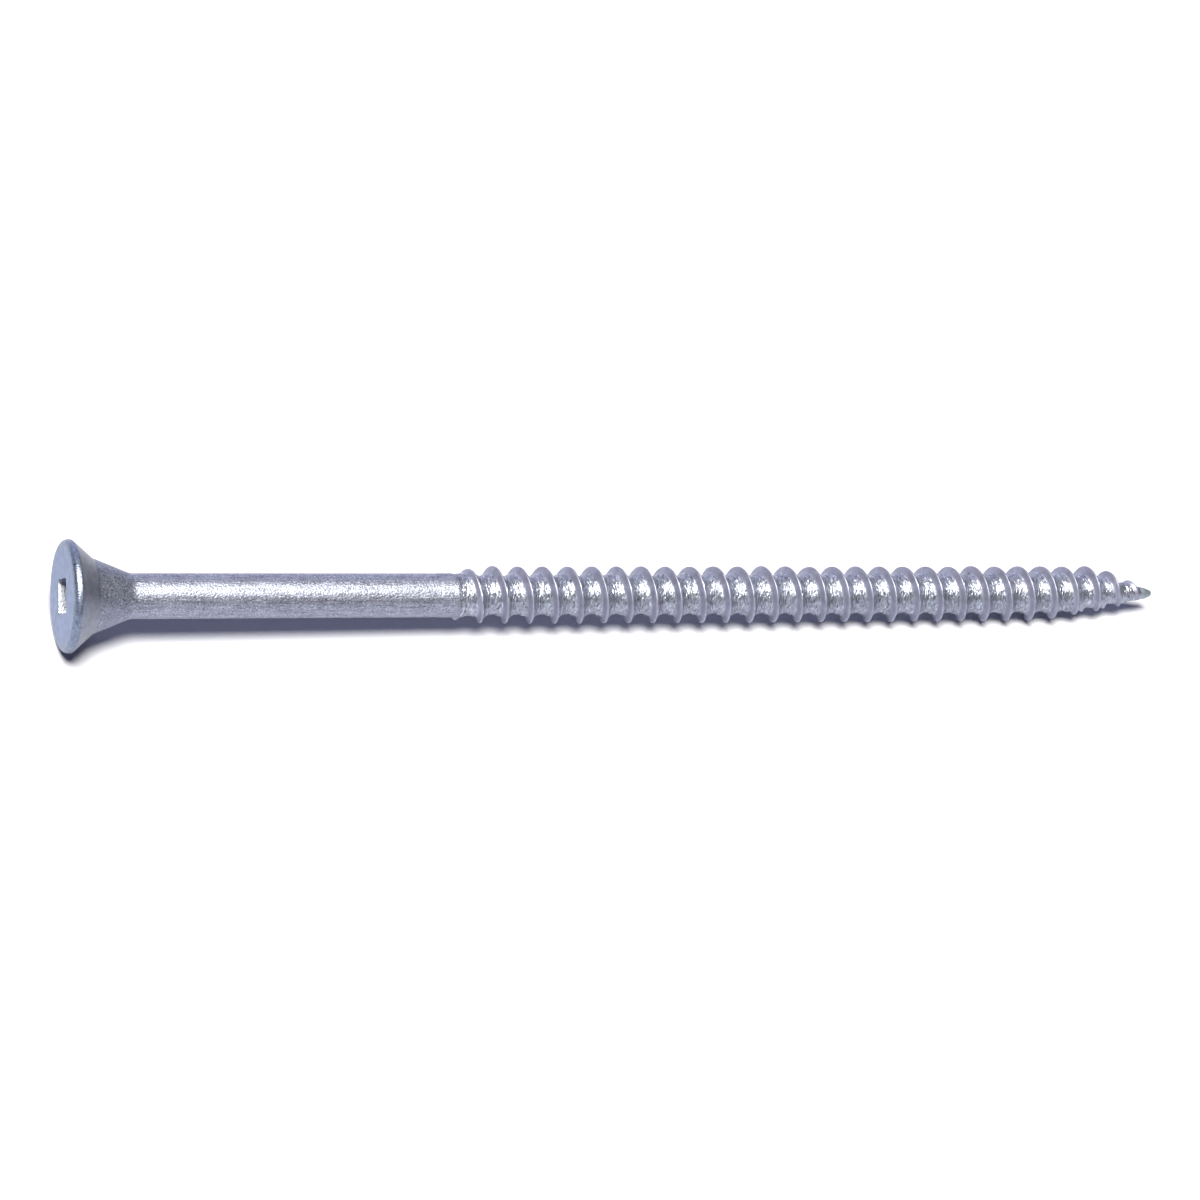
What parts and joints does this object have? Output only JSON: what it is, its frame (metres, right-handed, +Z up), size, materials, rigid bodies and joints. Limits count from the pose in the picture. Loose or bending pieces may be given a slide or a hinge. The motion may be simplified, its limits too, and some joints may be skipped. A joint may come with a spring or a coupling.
{
  "type": "deck screw",
  "caption": "Galvanised deck screw with a flat countersunk head, square drive recess, plain shank, coarse right-hand wood thread and gimlet point; it fastens boards to joists.",
  "frame": {"origin": "centre of the underside of the box round the lying screw, on the ground plane", "axes": "+X along the screw from head to tip, level with the ground; +Z up"},
  "size_m": [0.1016, 0.0094, 0.0095],
  "materials": {
    "zinc": "hot-dip galvanised steel, rough matt zinc with bright flecks"
  },
  "bodies": {
    "root": {"deck_screw": "zinc"}
  },
  "joints": []
}
